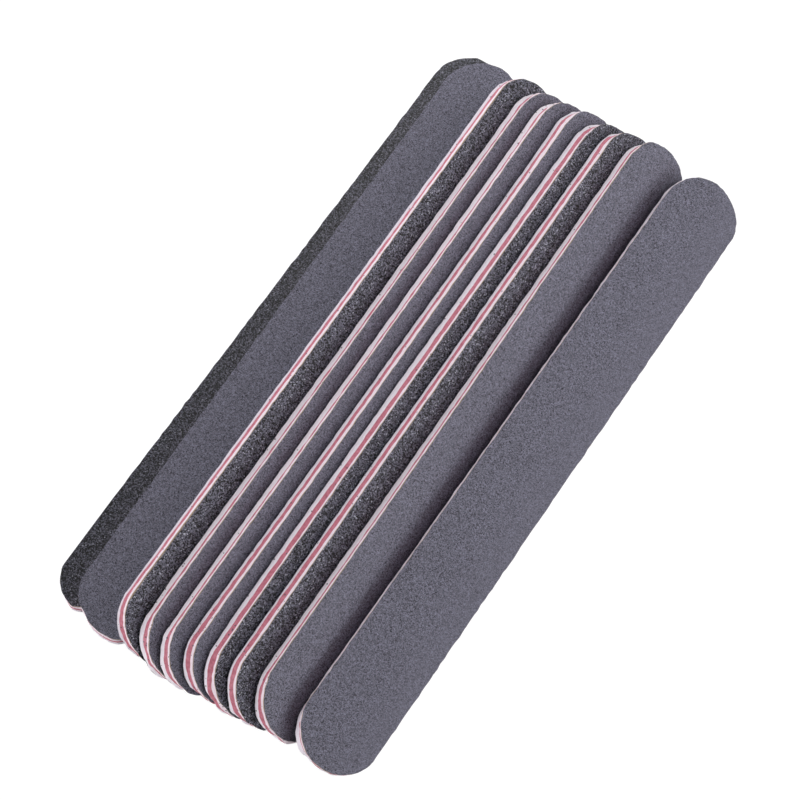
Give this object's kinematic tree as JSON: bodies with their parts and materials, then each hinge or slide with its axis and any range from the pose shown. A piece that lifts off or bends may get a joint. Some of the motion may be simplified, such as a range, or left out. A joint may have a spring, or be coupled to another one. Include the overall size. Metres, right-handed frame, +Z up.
{
  "type": "emery board set",
  "caption": "Set of cushioned emery boards with round ends, foam layers and a coloured core between abrasive sheets, fanned in a leaning row so that each can be drawn out.",
  "frame": {"origin": "middle of the underside of board_1, the lowest board, on the table", "axes": "+Z up from the table, +Y along the boards away from the viewer, +X across the stack towards the board on top"},
  "size_m": [0.0904, 0.1817, 0.0189],
  "materials": {
    "fine_grit": "matte",
    "coarse_grit": "matte",
    "foam": "matte",
    "core": "satin"
  },
  "bodies": {
    "board_1": {"board_1_under_sheet": "fine_grit", "board_1_under_foam": "foam", "board_1_core": "core", "board_1_upper_foam": "foam", "board_1_upper_sheet": "coarse_grit"},
    "board_2": {"board_2_under_sheet": "coarse_grit", "board_2_under_foam": "foam", "board_2_core": "core", "board_2_upper_foam": "foam", "board_2_upper_sheet": "fine_grit"},
    "board_3": {"board_3_under_sheet": "fine_grit", "board_3_under_foam": "foam", "board_3_core": "core", "board_3_upper_foam": "foam", "board_3_upper_sheet": "coarse_grit"},
    "board_4": {"board_4_under_sheet": "coarse_grit", "board_4_under_foam": "foam", "board_4_core": "core", "board_4_upper_foam": "foam", "board_4_upper_sheet": "fine_grit"},
    "board_5": {"board_5_under_sheet": "coarse_grit", "board_5_under_foam": "foam", "board_5_core": "core", "board_5_upper_foam": "foam", "board_5_upper_sheet": "fine_grit"},
    "board_6": {"board_6_under_sheet": "coarse_grit", "board_6_under_foam": "foam", "board_6_core": "core", "board_6_upper_foam": "foam", "board_6_upper_sheet": "fine_grit"},
    "board_7": {"board_7_under_sheet": "fine_grit", "board_7_under_foam": "foam", "board_7_core": "core", "board_7_upper_foam": "foam", "board_7_upper_sheet": "coarse_grit"},
    "board_8": {"board_8_under_sheet": "fine_grit", "board_8_under_foam": "foam", "board_8_core": "core", "board_8_upper_foam": "foam", "board_8_upper_sheet": "coarse_grit"},
    "board_9": {"board_9_under_sheet": "coarse_grit", "board_9_under_foam": "foam", "board_9_core": "core", "board_9_upper_foam": "foam", "board_9_upper_sheet": "fine_grit"},
    "board_10": {"board_10_under_sheet": "coarse_grit", "board_10_under_foam": "foam", "board_10_core": "core", "board_10_upper_foam": "foam", "board_10_upper_sheet": "fine_grit"}
  },
  "joints": [
    {"name": "draw_board_2", "type": "slide", "parent": "board_1", "child": "board_2", "axis": [0, -1, 0], "range_m": [0, 0.18]},
    {"name": "draw_board_3", "type": "slide", "parent": "board_1", "child": "board_3", "axis": [0, -1, 0], "range_m": [0, 0.18]},
    {"name": "draw_board_4", "type": "slide", "parent": "board_1", "child": "board_4", "axis": [0, -1, 0], "range_m": [0, 0.18]},
    {"name": "draw_board_5", "type": "slide", "parent": "board_1", "child": "board_5", "axis": [0, -1, 0], "range_m": [0, 0.18]},
    {"name": "draw_board_6", "type": "slide", "parent": "board_1", "child": "board_6", "axis": [0, -1, 0], "range_m": [0, 0.18]},
    {"name": "draw_board_7", "type": "slide", "parent": "board_1", "child": "board_7", "axis": [0, -1, 0], "range_m": [0, 0.18]},
    {"name": "draw_board_8", "type": "slide", "parent": "board_1", "child": "board_8", "axis": [0, -1, 0], "range_m": [0, 0.18]},
    {"name": "draw_board_9", "type": "slide", "parent": "board_1", "child": "board_9", "axis": [0, -1, 0], "range_m": [0, 0.18]},
    {"name": "lift_board_10", "type": "slide", "parent": "board_1", "child": "board_10", "axis": [0, 0, 1], "range_m": [0, 0.06]}
  ]
}
